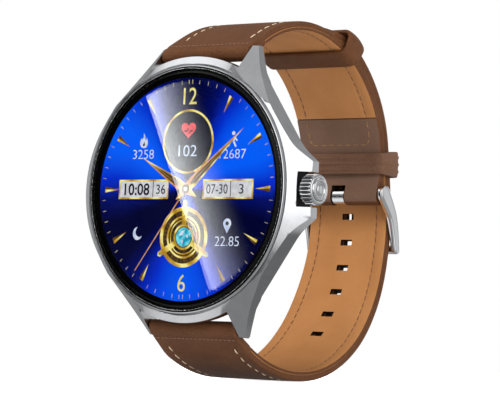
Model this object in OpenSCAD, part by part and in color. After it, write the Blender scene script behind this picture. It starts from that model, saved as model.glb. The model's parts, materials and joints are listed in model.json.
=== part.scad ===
// Round smartwatch on a buckled two-piece leather strap.
// Millimetres.  +X is 3 o'clock (crown side), +Z is 12 o'clock and -Y is
// where the dial looks.  The origin is the centre of the flat window on
// the case back, so the strap loops away along +Y.
// Most modules draw in "depth" coordinates: y is the depth behind the
// front of the cover glass.  at_glass() moves that into place.

/* [Case] */
// Overall thickness, cover glass to sensor window
case_thickness = 11.4; // [10:0.1:14]
// Distance from the dial centre to the straight flanks
flank_distance = 23; // [22.6:0.1:24]
// Radius of the plain 9 o'clock side
plain_side = 24; // [23.5:0.1:25]
// Reach of the crown guards from the dial centre
guard_reach = 26.1; // [25:0.1:27]
// Radius of the case rim seen between the lugs
rim_radius = 23.7; // [23:0.1:24.5]
// Depth of the lower edge of the metal case
metal_depth = 4.6; // [4:0.1:5.5]

/* [Display] */
// Radius of the cover glass
glass_radius = 21.2; // [20.5:0.1:21.2]
// Radius of the lit picture
picture_radius = 19.9; // [18:0.1:20]
// Thickness of the cover glass
glass_thickness = 1; // [0.8:0.1:1.4]

/* [Lugs and strap] */
// Gap between a pair of lugs, the strap size
lug_width = 20; // [18:1:22]
// Reach of the lugs from the dial centre
lug_reach = 25.9; // [25:0.1:27]
// Width of the strap at the case
strap_wide = 19.5; // [17:0.5:21.5]
// Width of the buckle strap
buckle_wide = 18.6; // [16:0.2:20]
// Width of the strap with the holes
holes_wide = 17.8; // [14:0.2:18]
// Number of holes
hole_count = 7; // [5:1:9]
// Distance from hole to hole
hole_pitch = 5; // [4:0.5:6]

/* [Crown] */
// Diameter of the crown
crown_diameter = 5.5; // [5:0.1:6.5]
// Travel of the crown when it is pressed
crown_travel = 0.45; // [0.3:0.05:0.6]

/* [Hidden] */
$fn = 96;
th = case_thickness;
crown_d = 3.3;                 // depth of the crown axis
bar_d = 5.6;                   // depth of the spring bars
bar_z = 24.6;                  // height of the spring bars
bar_r = 0.75;                  // spring bar and buckle bar
pin_r = 0.42;                  // spring bar tips
bk_d = 48.4;                   // buckle bar, depth and height
bk_z = 2.4;
u_th = 1.7;                    // buckle strap thickness
l_th = 1.8;                    // hole strap thickness
lin = 0.7;                     // lining thickness
gap = 0.1;                     // air between the stacked straps
c1 = [23.12, 5.70];            // centre of the large wrist arc
r1 = 24.95;
r2 = 21.33;                    // smaller arc behind it
c2 = c1 + (r1 - r2) * [cos(35), sin(35)];
r1l = r1 + u_th + gap;
r2l = r2 + u_th + gap;

// ---------------------------------------------------------------- helpers
module at_glass() translate([0, -th, 0]) children();

// a face-on outline (x, z), solid between two depths
module plan(d0, d1)
  translate([0, d1, 0]) rotate([90, 0, 0]) linear_extrude(d1 - d0) children();

// a profile (radius, depth) spun about the dial axis
module spin() rotate([-90, 0, 0]) rotate_extrude($fn = 180) children();

// a profile (depth, height) drawn across the width of the watch
module across(w)
  rotate([90, 0, 90]) linear_extrude(w, center = true) children();

// a round bar along X from x0 to x1 at a depth and height
module bar(x0, x1, r, d, z)
  translate([x0, d, z]) rotate([0, 90, 0]) cylinder(r = r, h = x1 - x0);

module mirror_x() { children(); mirror([1, 0, 0]) children(); }
module mirror_z() { children(); mirror([0, 0, 1]) children(); }

// turned half a turn about the dial axis
module opposite() rotate([0, 180, 0]) children();

// points of a circular path that turns right: start, heading, radius, angle
function turn(p, h, r, a, n) =
  let (c = p + r * [sin(h), -cos(h)])
  [for (i = [0:n]) c + r * [-sin(h - a * i / n), cos(h - a * i / n)]];
function headings(h, a, n) = [for (i = [0:n]) h - a * i / n];
function last(v) = v[len(v) - 1];
function tail(v) = [for (i = [1:len(v) - 1]) v[i]];
// path pushed sideways (to the left of its travel) by t
function push(p, h, t) =
  [for (i = [0:len(p) - 1]) p[i] + t * [-sin(h[i]), cos(h[i])]];
function rev(v) = [for (i = [len(v) - 1:-1:0]) v[i]];
function part_of(v, a, b) = [for (i = [a:b]) v[i]];

// --------------------------------------------------------- wrist outlines
// Inner face of the buckle strap, from the upper lug to the buckle.
ua = turn([8.96, 26.23], 34.6, r1, 89.6, 30);
ub = turn(last(ua), -55, r2, 48, 16);
u_path = concat(ua, tail(ub));
u_head = concat(headings(34.6, 89.6, 30), tail(headings(-55, 48, 16)));

// Inner face of the hole strap, from its tip to the lower lug.
l0 = c1 + r1l * [cos(72), sin(72)];
la = turn(l0, -18, r1l, 37, 14);
// radius, angle and steps of the arcs past the large one
l_arcs = [[r2l, 24.58, 10], [208.43, 2.76, 2], [32.64, 41.11, 14],
  [24.48, 48.39, 16], [29.88, 39.36, 12]];
function run(p, h, v, i = 0) = i == len(v) ? []
  : let (q = turn(p, h, v[i][0], v[i][1], v[i][2]))
    concat(tail(q), run(last(q), h - v[i][1], v, i + 1));
function run_heads(h, v, i = 0) = i == len(v) ? []
  : concat(tail(headings(h, v[i][1], v[i][2])), run_heads(h - v[i][1], v, i + 1));
l_path = concat(la, run(last(la), -55, l_arcs));
l_head = concat(headings(-18, 37, 14), run_heads(-55, l_arcs));

// a layer of a strap, between two distances from its inner face
module layer(p, h, t0, t1)
  polygon(concat(push(p, h, t0), rev(push(p, h, t1))));

// ------------------------------------------------------------------- case
// flank, concave sweep into the lug and the lug end, upper right quarter
flank_n = [cos(35), sin(35)];
flank_a = flank_distance * flank_n + 5.6 * [sin(35), -cos(35)];
flank_b = flank_distance * flank_n - 6.7 * [sin(35), -cos(35)];
lug_arc = turn(flank_b, 125, 45, 10.5, 8);
side_points = concat(lug_arc, [[last(lug_arc)[0] - 0.4, lug_reach + 1]]);
guard_arc = [for (i = [0:6]) let (h = -55 + 17 * i / 6)
  flank_a + 10 * [cos(35), sin(35)] + 10 * [sin(h), -cos(h)]];
guard_end = last(guard_arc)
  + (guard_reach - last(guard_arc)[0]) * [1, -tan(38)];
bow = (plain_side - flank_distance) / (1 - cos(35));
left_arc = [for (i = [0:10]) let (a = 35 * i / 10)
  [-bow - (plain_side - bow) * cos(a), (plain_side - bow) * sin(a)]];

// the upper half, from the crown guard round to 9 o'clock
upper_half = concat([guard_end], rev(guard_arc), side_points,
  [[0, lug_reach + 1]], rev([for (p = side_points) [-p[0], p[1]]]),
  rev(left_arc));
lower_half = rev([for (p = upper_half) if (p[1] > 0) [p[0], -p[1]]]);
module outline() polygon(concat(upper_half, lower_half));

// sloping shoulder from the groove round the glass outwards
module shoulder() spin() polygon([[0, 0.35], [22.45, 0.35], [22.45, 0.55],
  [rim_radius, 1.25], [30, 4.78], [30, 12], [0, 12]]);

// what the rim keeps between the lugs
module rim_limit() spin() polygon([[0, 0], [rim_radius, 0],
  [rim_radius, 3], [22.3, metal_depth], [22.3, 12], [0, 12]]);

module lug_sides() {
  intersection() {
    // side view: sloping front, blunt end, back
    across(60) polygon([[0.3, 14], [0.3, 20.6], [5.2, lug_reach - 0.1],
      [6.9, lug_reach], [7.2, 25.2], [6.4, 22.2], [metal_depth, 18.6],
      [metal_depth, 14]]);
    // seen from 12 o'clock: the outer back edge is chamfered
    linear_extrude(30) polygon([[9, 0], [20, 0], [20, 3.9], [13.6, 5.1],
      [10.7, 7.3], [9, 7.3]]);
  }
}

// the front of each lug is one flat cut, deeper outwards and to the end
module lug_lean() {
  h = 60;
  mirror_x() translate([lug_width / 2, 2.73, 23])
    multmatrix([[1, 0, 0, 0], [0.7, 1, 0.9, 0], [0, 0, 1, 0], [0, 0, 0, 1]])
      translate([-1, -h, -9]) cube([10, h, 16]);
}

module mid_case() color([0.74, 0.75, 0.77]) at_glass() difference() {
  intersection() {
    shoulder();
    plan(0, 8) outline();
    union() {
      plan(0, metal_depth) square([60, 40], center = true);
      plan(0, metal_depth) circle(r = rim_radius, $fn = 180);
      mirror_z() mirror_x() lug_sides();
    }
  }
  // the strap gaps
  mirror_z() difference() {
    translate([-lug_width / 2, -1, 14]) cube([lug_width, 16, 14]);
    rim_limit();
  }
  mirror_z() lug_lean();
  // the lugs stand clear of the lower case
  spin() translate([0, metal_depth]) square([22.35, 6]);
  // seats of the bezel ring, and the room for the works
  spin() polygon([[0, -1], [22.45, -1], [22.45, 1.15], [22.2, 1.15],
    [22.2, 1.9], [20.6, 1.9], [20.6, 13], [0, 13]]);
  // notch and bore for the crown
  translate([23.9, -1, -3.05]) cube([10, 10, 6.1]);
  bar(19, 24.5, 1.2, crown_d, 0);
  // holes for the spring bar tips
  mirror_z() mirror_x() bar(9.5, 10.85, 0.5, bar_d, bar_z);
}

module bezel_ring() color([0.82, 0.83, 0.85]) at_glass() spin()
  polygon([[21.24, 0.5], [21.5, 0.12], [21.95, 0.25], [22.2, 0.55],
    [22.2, 1.9], [20.6, 1.9], [20.6, 1.1], [21.24, 1.1]]);

module cover_glass() color([0.35, 0.4, 0.5, 0.35]) at_glass() spin()
  polygon([[0, 0], [glass_radius - 0.5, 0], [glass_radius, 0.4],
    [glass_radius, glass_thickness], [0, glass_thickness]]);

module border_mask() color([0.02, 0.02, 0.02]) at_glass() spin()
  translate([picture_radius, 1.01])
    square([glass_radius - 0.05 - picture_radius, 0.08]);

module display_adhesive() color([0.85, 0.88, 0.92, 0.4]) at_glass() spin()
  polygon([[0, 1.01], [picture_radius - 0.02, 1.01],
    [picture_radius - 0.02, 1.1], [20.2, 1.1], [20.2, 1.2], [0, 1.2]]);

module display_panel() color([0.05, 0.15, 0.65]) at_glass() spin()
  translate([0, 1.2]) square([20.1, 0.8]);

module display_flex() color([0.75, 0.45, 0.12]) at_glass() {
  translate([-5, 2, 16.2]) cube([10, 0.15, 3]);
  translate([-5, 2, 18.9]) cube([10, 1.9, 0.3]);
}

// ------------------------------------------------------------- inner works
module chassis() color([0.16, 0.17, 0.18]) at_glass() difference() {
  spin() polygon([[0, 2.25], [19.9, 2.25], [19.9, 4.4], [18.7, 4.4],
    [18.7, 3.0], [0, 3.0]]);
  translate([11, 2, -3.4]) cube([12, 3, 6.8]);
  translate([-6, 2, 15.8]) cube([12, 3, 6]);
}

module main_board() color([0.05, 0.32, 0.16]) at_glass() difference() {
  plan(3.05, 3.85) circle(r = 18.4);
  translate([10.8, 2, -3.5]) cube([12, 3, 7]);
  translate([-6, 2, 15.8]) cube([12, 3, 6]);
}

module board_chips() color([0.12, 0.12, 0.13]) at_glass() {
  translate([-9, 3.85, -3]) cube([8, 0.9, 8]);
  translate([1, 3.85, -2]) cube([5, 0.8, 6]);
  translate([-9, 3.85, 7]) cube([5, 0.7, 4]);
  translate([0, 3.85, 8]) cube([3.5, 0.7, 3.5]);
  translate([-6, 3.85, -10]) cube([6, 0.8, 4]);
}

module battery() color([0.62, 0.64, 0.66]) at_glass()
  difference() {
    translate([-14.5, 4.95, -11]) cube([21, 3.3, 22]);
    mirror_z() translate([-15, 4, 9.6]) rotate([0, -45, 0])
      translate([-6, 0, 0]) cube([6, 5, 9]);
  }

module motor_case() color([0.7, 0.7, 0.72]) at_glass() difference() {
  translate([10.8, 6.1, -8.6]) cylinder(d = 4, h = 7.4);
  translate([10.8, 6.1, -9]) cylinder(d = 1, h = 3);
}

module motor_rotor() color([0.45, 0.4, 0.35]) at_glass()
  translate([10.8, 6.1, 0]) {
    translate([0, 0, -12.2]) cylinder(d = 0.9, h = 6.2);
    translate([0, 0, -12.4]) intersection() {
      cylinder(d = 3.6, h = 3.2);
      translate([-3, -0.2, -1]) cube([6, 4, 6]);
    }
  }

module speaker_module() color([0.1, 0.1, 0.11]) at_glass() {
  translate([7.6, 4.3, 4.4]) cube([6, 3.6, 8.4]);
  translate([8.4, 3.85, 5.4]) cube([4.4, 0.5, 6.4]);
}

module microphone() color([0.75, 0.72, 0.6]) at_glass()
  translate([2.5, 3.85, -14.6]) cube([3, 1, 3.6]);

module sensor_board() color([0.04, 0.26, 0.14]) at_glass()
  plan(8.75, 9.4) circle(r = 12);

module sensor_leds() color([0.45, 0.95, 0.5]) at_glass()
  for (a = [0:120:240]) rotate([0, a, 0]) translate([2.4, 9.4, -0.8])
    cube([1.6, 0.6, 1.6]);

module photodiodes() color([0.1, 0.1, 0.25]) at_glass()
  for (a = [60:120:300]) rotate([0, a, 0]) translate([4.8, 9.4, -1.3])
    cube([2.2, 0.6, 2.6]);

module sensor_lens() color([0.06, 0.07, 0.09]) at_glass() spin()
  polygon([[0, th], [6.5, th], [8, th - 0.16], [9.2, th - 0.5],
    [10, th - 0.95], [10, 9.4], [8.4, 9.4], [8.4, 10.4], [0, 10.4]]);

module charging_contacts() color([0.85, 0.68, 0.3]) at_glass()
  for (x = [-3, 3]) translate([x, 8.5, -14]) rotate([-90, 0, 0])
    cylinder(r = 0.8, h = 1.98);

module charging_magnets() color([0.55, 0.56, 0.58]) at_glass()
  for (x = [-7.4, 7.4]) translate([x, 8.35, -12.6]) rotate([-90, 0, 0])
    cylinder(r = 1.6, h = 1.0);

module back_case() color([0.07, 0.07, 0.075]) at_glass() difference() {
  spin() polygon([[20.7, metal_depth], [22.2, metal_depth],
    [21.6, 6.4], [19.4, 9.4], [13.2, 9.4], [13.2, 8.4], [17.9, 8.4],
    [20, 5.8], [20.3, 4.9]]);
  // pockets for the charging parts, screws and the seal groove
  for (x = [-3, 3]) translate([x, 8, -14]) rotate([-90, 0, 0])
    cylinder(r = 0.9, h = 3);
  for (x = [-7.4, 7.4]) translate([x, 8, -12.6]) rotate([-90, 0, 0])
    cylinder(r = 1.65, h = 3);
  screws() translate([0, 0, -2]) cylinder(r = 0.7, h = 4);
  spin() translate([17.1, 9]) square([0.9, 1]);
}

module screws() for (a = [35, 145, 215, 325]) rotate([0, -a, 0])
  translate([15.6, 9.4, 0]) rotate([-90, 0, 0]) children();

module back_cover() color([0.1, 0.1, 0.11]) at_glass() difference() {
  spin() polygon([[10.02, 9.4], [18.9, 9.4], [18.9, 9.8], [18.3, 10.4],
    [10.02, 10.4]]);
  for (x = [-3, 3]) translate([x, 9, -14]) rotate([-90, 0, 0])
    cylinder(r = 0.8, h = 3);
  screws() {
    translate([0, 0, -1]) cylinder(r = 0.75, h = 3);
    translate([0, 0, 0.4]) cylinder(r = 1.4, h = 3);
  }
}

module back_gasket() color([0.3, 0.1, 0.08]) at_glass() spin()
  translate([17.2, 9]) square([0.7, 0.4]);

module back_screws() color([0.6, 0.61, 0.63]) at_glass() screws()
  difference() {
    union() {
      translate([0, 0, -0.95]) cylinder(r = 0.7, h = 1.4);
      translate([0, 0, 0.4]) cylinder(r = 1.3, h = 0.55);
    }
    translate([-0.15, -2, 0.75]) cube([0.3, 4, 1]);
  }

// ------------------------------------------------------------------ crown
// a profile (radius, x) spun about the crown axis
module crown_spin() translate([0, crown_d, 0]) rotate([0, 90, 0])
  rotate_extrude() children();
crown_r = crown_diameter / 2;

module crown_knob() color([0.72, 0.73, 0.75]) at_glass() crown_spin()
  polygon([[0.7, 25.4], [1.5, 25.4], [1.5, 24.9], [crown_r - 0.4, 24.9],
    [crown_r, 25.2], [crown_r, 27], [crown_r - 0.35, 27.4],
    [2.05, 27.4], [2.05, 27.05], [0.7, 27.05]]);

module crown_cap() color([0.8, 0.81, 0.83]) at_glass() crown_spin()
  polygon([[0, 27.05], [2, 27.05], [2, 27.5], [1.7, 27.7], [0, 27.7]]);

module crown_stem() color([0.66, 0.67, 0.69]) at_glass() crown_spin()
  polygon([[0, 17.2], [0.7, 17.2], [0.7, 19.3], [0.5, 19.3], [0.5, 19.6],
    [0.7, 19.6], [0.7, 21.9], [0.42, 21.9], [0.42, 22.5], [0.7, 22.5],
    [0.7, 27.05], [0, 27.05]]);

module crown_seal() color([0.06, 0.06, 0.06]) at_glass() crown_spin()
  polygon([[0.42, 21.95], [0.6, 21.95], [0.71, 22.1], [0.71, 22.3],
    [0.6, 22.45], [0.42, 22.45]]);

module stem_clip() color([0.5, 0.5, 0.52]) at_glass() crown_spin()
  polygon([[0.5, 19.3], [1.15, 19.3], [1.15, 19.6], [0.5, 19.6]]);

module crown_tube() color([0.62, 0.63, 0.65]) at_glass() crown_spin()
  polygon([[0.76, 20], [1.2, 20], [1.2, 24.3], [0.76, 24.3]]);

module crown_switch() color([0.2, 0.2, 0.21]) at_glass() {
  translate([11.4, crown_d - 1, -1.7]) cube([3.6, 2, 3.4]);
  translate([11.4, 2.25, -1.7]) cube([2.6, 0.4, 3.4]);
  bar(15, 15.2, 0.8, crown_d, 0);
}

module switch_plunger() color([0.85, 0.83, 0.75]) at_glass() crown_spin()
  polygon([[0, 15.2 + crown_travel + 0.05], [0.9, 15.2 + crown_travel + 0.05],
    [1.15, 16], [1.15, 17.9], [0.76, 17.9], [0.76, 17], [0, 17]]);

// ------------------------------------------------------------- spring bars
module bar_tube_shape() difference() {
  union() {
    bar(-9.8, 9.5, bar_r, bar_d, bar_z);
    bar(-10.7, -9.8, pin_r, bar_d, bar_z);
  }
  bar(2.6, 9.6, 0.5, bar_d, bar_z);
  translate([5, bar_d, bar_z - 0.5]) cube([3, 2, 1]);
}

module pin_shape() {
  bar(4.4, 10.7, pin_r, bar_d, bar_z);
  translate([7.3, bar_d, bar_z]) rotate([-90, 0, 0])
    cylinder(r = 0.38, h = 2.2);
  translate([7.3, bar_d + 1.75, bar_z]) rotate([-90, 0, 0])
    cylinder(r = 0.65, h = 0.75);
}

module upper_bar_tube() color([0.7, 0.7, 0.72]) at_glass() bar_tube_shape();
module upper_release_pin() color([0.5, 0.5, 0.52]) at_glass() pin_shape();
module lower_bar_tube() color([0.7, 0.7, 0.72]) at_glass()
  opposite() bar_tube_shape();
module lower_release_pin() color([0.5, 0.5, 0.52]) at_glass()
  opposite() pin_shape();

// ------------------------------------------------------------------ straps
n_u = len(u_path) - 1;
n_l = len(l_path) - 1;
turned = 33;                   // where the turned-in leather end starts

// the leather rolled round a spring bar, run out into the strap
module roll(p, h, i0, i1, t) hull() {
  translate([bar_d, sign(p[i0][1]) * bar_z]) circle(r = 1.55);
  layer(part_of(p, i0, i1), part_of(h, i0, i1), 0, t);
}

// room for the release knob
module knob_room() translate([4.8, bar_d + 0.2, bar_z - 1.7])
  cube([3.6, 4, 3]);

// outline from half widths: pairs of half width and place along it
function both_sides(v) = concat(v, rev([for (p = v) [-p[0], p[1]]]));

// widths of the straps: wide at the lugs, slimmer towards the buckle
module upper_width() intersection() {
  linear_extrude(40) polygon(both_sides([[strap_wide / 2, 0],
    [strap_wide / 2, 8], [buckle_wide / 2, 29], [buckle_wide / 2, 60]]));
  plan(-1, 60) polygon(both_sides([[buckle_wide / 2 - 0.25, -5],
    [buckle_wide / 2 - 0.25, 4], [buckle_wide / 2, 12], [10, 20], [10, 40]]));
}

module lower_width() plan(-1, 60) polygon(both_sides([
  [strap_wide / 2, -40], [strap_wide / 2, -24.5],
  [strap_wide / 2 - 0.25, -17], [holes_wide / 2 + 0.15, -9],
  [holes_wide / 2, 0], [holes_wide / 2, 28.4], [holes_wide / 2 - 1, 29.8],
  [holes_wide / 2 - 2, 30.6], [holes_wide / 2 - 3.6, 31.3],
  [holes_wide / 2 - 3.6, 33.5]]));

module upper_strap_leather() color([0.33, 0.2, 0.14]) at_glass()
  difference() {
    intersection() {
      across(30) union() {
        layer(u_path, u_head, lin, u_th);
        layer(part_of(u_path, turned, n_u), part_of(u_head, turned, n_u),
          0, lin + 0.05);
        difference() {
          roll(u_path, u_head, 0, 4, u_th);
          layer(part_of(u_path, 1, 6), part_of(u_head, 1, 6), -2, lin);
        }
        translate([bk_d, bk_z]) circle(r = u_th);
      }
      upper_width();
    }
    bar(-20, 20, 0.8, bar_d, bar_z);
    bar(-20, 20, 0.85, bk_d, bk_z);
    knob_room();
    // slot for the tang
    translate([-1.6, 46, 0]) cube([3.2, 5, 4.5]);
  }

module upper_strap_lining() color([0.72, 0.47, 0.27]) at_glass()
  intersection() {
    across(30) layer(part_of(u_path, 1, turned), part_of(u_head, 1, turned),
      0, lin);
    upper_width();
  }

// holes of the lower strap: the first one takes the tang and is taller
hole_start = 23.3;             // path length past the end of la
module strap_holes(wide) for (k = [-1:hole_count - 2]) {
  q = hole_place(hole_start + k * hole_pitch, last(la), -55);
  tall = k < 0 ? 1.7 : 1.15;
  translate([0, q[0], q[1]]) rotate([q[2], 0, 0])
    translate([-wide / 2, -3, -tall / 2]) cube([wide, 6, tall]);
}

// depth, height and slope of the strap at a path length past the end of la
function hole_place(s, p, h, i = 0) =
  let (r = l_arcs[i][0], arc_len = r * l_arcs[i][1] * PI / 180)
  s > arc_len && i < len(l_arcs) - 1
    ? hole_place(s - arc_len, last(turn(p, h, r, l_arcs[i][1], 1)),
        h - l_arcs[i][1], i + 1)
    : let (a = s / r * 180 / PI)
      concat(last(turn(p, h, r, a, 1)), [h - a + 90]);

module lower_strap_leather() color([0.33, 0.2, 0.14]) at_glass()
  difference() {
    intersection() {
      across(30) union() {
        layer(l_path, l_head, lin, l_th);
        difference() {
          roll(l_path, l_head, n_l - 4, n_l, l_th);
          layer(part_of(l_path, n_l - 6, n_l - 1),
            part_of(l_head, n_l - 6, n_l - 1), -2, lin);
        }
      }
      lower_width();
    }
    bar(-20, 20, 0.8, bar_d, -bar_z);
    opposite() knob_room();
    strap_holes(1.9);
  }

module lower_strap_lining() color([0.72, 0.47, 0.27]) at_glass()
  difference() {
    intersection() {
      across(30) layer(part_of(l_path, 0, n_l - 1), part_of(l_head, 0, n_l - 1),
        0, lin);
      lower_width();
    }
    strap_holes(2.6);
  }

// a leather loop round both straps: arc centre, inner and outer radius of
// its opening, half width of the opening, start angle and sweep
module keeper(c, ra, rb, w, a0, sweep)
  translate([0, c[0], c[1]]) rotate([90, 0, 90]) rotate([0, 0, a0])
    rotate_extrude(angle = sweep, $fn = 240) difference() {
      translate([ra - 1, -w - 1.2]) square([rb - ra + 2, 2 * w + 2.4]);
      translate([ra, -w]) square([rb - ra, 2 * w]);
    }

module fixed_keeper() color([0.33, 0.2, 0.14]) at_glass()
  keeper(c2, r2 - 0.1, r2 + 4.5, buckle_wide / 2 + 0.1, -3.3, 11);

module free_keeper() color([0.33, 0.2, 0.14]) at_glass()
  keeper(c1, r1 - 0.1, r1l + l_th + 0.1, buckle_wide / 2 + 0.25, 56, 10.5);

// ------------------------------------------------------------------ buckle
tang_r = 1.5;                  // eye of the tang
arm = [[48.3, 2.8, 1.75], [51.1, -0.8, 1.4], [52.1, -3.8, 1.3],
  [52.8, -7.3, 1.0]];
module arm_side() for (i = [0:2]) hull() for (j = [i, i + 1])
  translate([arm[j][0], arm[j][1]]) circle(r = arm[j][2], $fn = 48);

module buckle_frame() color([0.8, 0.81, 0.83]) at_glass() difference() {
  union() {
    mirror_x() translate([9.85, 0, 0]) across(1.1) arm_side();
    bar(-9.9, 9.9, 0.85, 53.15, -7.4);
  }
  bar(-10.1, 10.1, bar_r, bk_d, bk_z);
}

module buckle_bar() color([0.62, 0.63, 0.65]) at_glass()
  bar(-10.1, 10.1, bar_r, bk_d, bk_z);

module buckle_tang() color([0.78, 0.79, 0.81]) at_glass() difference() {
  union() {
    bar(-1.3, 1.3, tang_r, bk_d, bk_z);
    // out through the strap, then down its outer face to the frame
    across(1.5) polygon([[bk_d, bk_z + tang_r], [52.2, bk_z + tang_r],
      [52.9, 3.6], [53.3, 2.9], [53.7, -3], [54.8, -8], [54.7, -8.6],
      [54.3, -8.7], [54.1, -8.2], [54.1, -7.1], [53.05, -3], [52.75, 2],
      [52.55, 3], [52.1, 3.35], [48.9, 3.15]]);
  }
  bar(-2, 2, bar_r + 0.05, bk_d, bk_z);
}

mid_case();
bezel_ring();
cover_glass();
border_mask();
display_adhesive();
display_panel();
display_flex();
chassis();
main_board();
board_chips();
battery();
motor_case();
motor_rotor();
speaker_module();
microphone();
sensor_board();
sensor_leds();
photodiodes();
sensor_lens();
charging_contacts();
charging_magnets();
back_case();
back_cover();
back_gasket();
back_screws();
crown_knob();
crown_cap();
crown_stem();
crown_seal();
stem_clip();
crown_tube();
crown_switch();
switch_plunger();
upper_strap_leather();
upper_strap_lining();
upper_bar_tube();
upper_release_pin();
lower_strap_leather();
lower_strap_lining();
lower_bar_tube();
lower_release_pin();
fixed_keeper();
free_keeper();
buckle_frame();
buckle_bar();
buckle_tang();
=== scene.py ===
"""Looks of the round smartwatch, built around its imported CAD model."""

import json
from math import atan2, copysign, cos, exp, hypot, pi, radians, sin, sqrt

import bmesh
import bpy
import numpy as np
from mathutils import Matrix, Vector

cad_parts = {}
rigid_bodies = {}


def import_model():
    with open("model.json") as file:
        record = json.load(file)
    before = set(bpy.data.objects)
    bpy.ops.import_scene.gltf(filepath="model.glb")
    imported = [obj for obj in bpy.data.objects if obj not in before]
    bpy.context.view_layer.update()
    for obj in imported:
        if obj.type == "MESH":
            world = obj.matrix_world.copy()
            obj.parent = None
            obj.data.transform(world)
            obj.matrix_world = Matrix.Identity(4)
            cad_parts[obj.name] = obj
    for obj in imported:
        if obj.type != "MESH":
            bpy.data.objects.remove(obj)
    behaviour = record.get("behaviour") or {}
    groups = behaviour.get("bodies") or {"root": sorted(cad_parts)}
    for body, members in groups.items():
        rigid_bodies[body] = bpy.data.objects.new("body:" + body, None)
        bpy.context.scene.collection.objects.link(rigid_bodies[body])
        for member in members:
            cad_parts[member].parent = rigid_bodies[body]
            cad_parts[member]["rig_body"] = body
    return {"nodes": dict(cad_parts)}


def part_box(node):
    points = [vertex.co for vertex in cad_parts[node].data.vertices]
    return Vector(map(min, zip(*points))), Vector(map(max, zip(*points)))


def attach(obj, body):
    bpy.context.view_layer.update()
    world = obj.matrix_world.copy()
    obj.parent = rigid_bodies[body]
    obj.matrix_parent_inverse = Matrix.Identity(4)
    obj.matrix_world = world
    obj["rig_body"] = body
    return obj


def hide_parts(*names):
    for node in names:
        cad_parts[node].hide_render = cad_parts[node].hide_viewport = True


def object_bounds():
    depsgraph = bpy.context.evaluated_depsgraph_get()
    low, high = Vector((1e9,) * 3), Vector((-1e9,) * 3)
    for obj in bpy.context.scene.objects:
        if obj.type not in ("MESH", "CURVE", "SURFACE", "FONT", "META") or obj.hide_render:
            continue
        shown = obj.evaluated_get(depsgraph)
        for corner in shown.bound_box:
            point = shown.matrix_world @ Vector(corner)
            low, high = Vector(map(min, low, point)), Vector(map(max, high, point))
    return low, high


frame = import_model()
CAD_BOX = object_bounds()

MM = 0.001
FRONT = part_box("cover_glass")[0].y  # the front of the cover glass
FLOOR = CAD_BOX[0].z - 0.0002  # just under the lowest point
scene = bpy.context.scene
scene.view_settings.view_transform = "Standard"


def link(name, data):
    obj = bpy.data.objects.new(name, data)
    scene.collection.objects.link(obj)
    return obj


# ---------------- camera
CAM_AT = Vector((0.285603, -0.363182, -0.029881))
CAM_AIM = Vector((-0.608484, 0.791088, 0.062665))
CAM_UP = Vector((0.001412, -0.077887, 0.996961))


def make_camera():
    data = bpy.data.cameras.new("camera")
    data.lens, data.sensor_width = 184.7, 36
    data.clip_start, data.clip_end = 0.01, 50
    cam = link("camera", data)
    right = CAM_AIM.cross(CAM_UP)
    turn = Matrix((right, CAM_UP, -CAM_AIM)).transposed()
    cam.matrix_world = Matrix.Translation(CAM_AT) @ turn.to_4x4()
    scene.camera = cam


make_camera()


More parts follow.
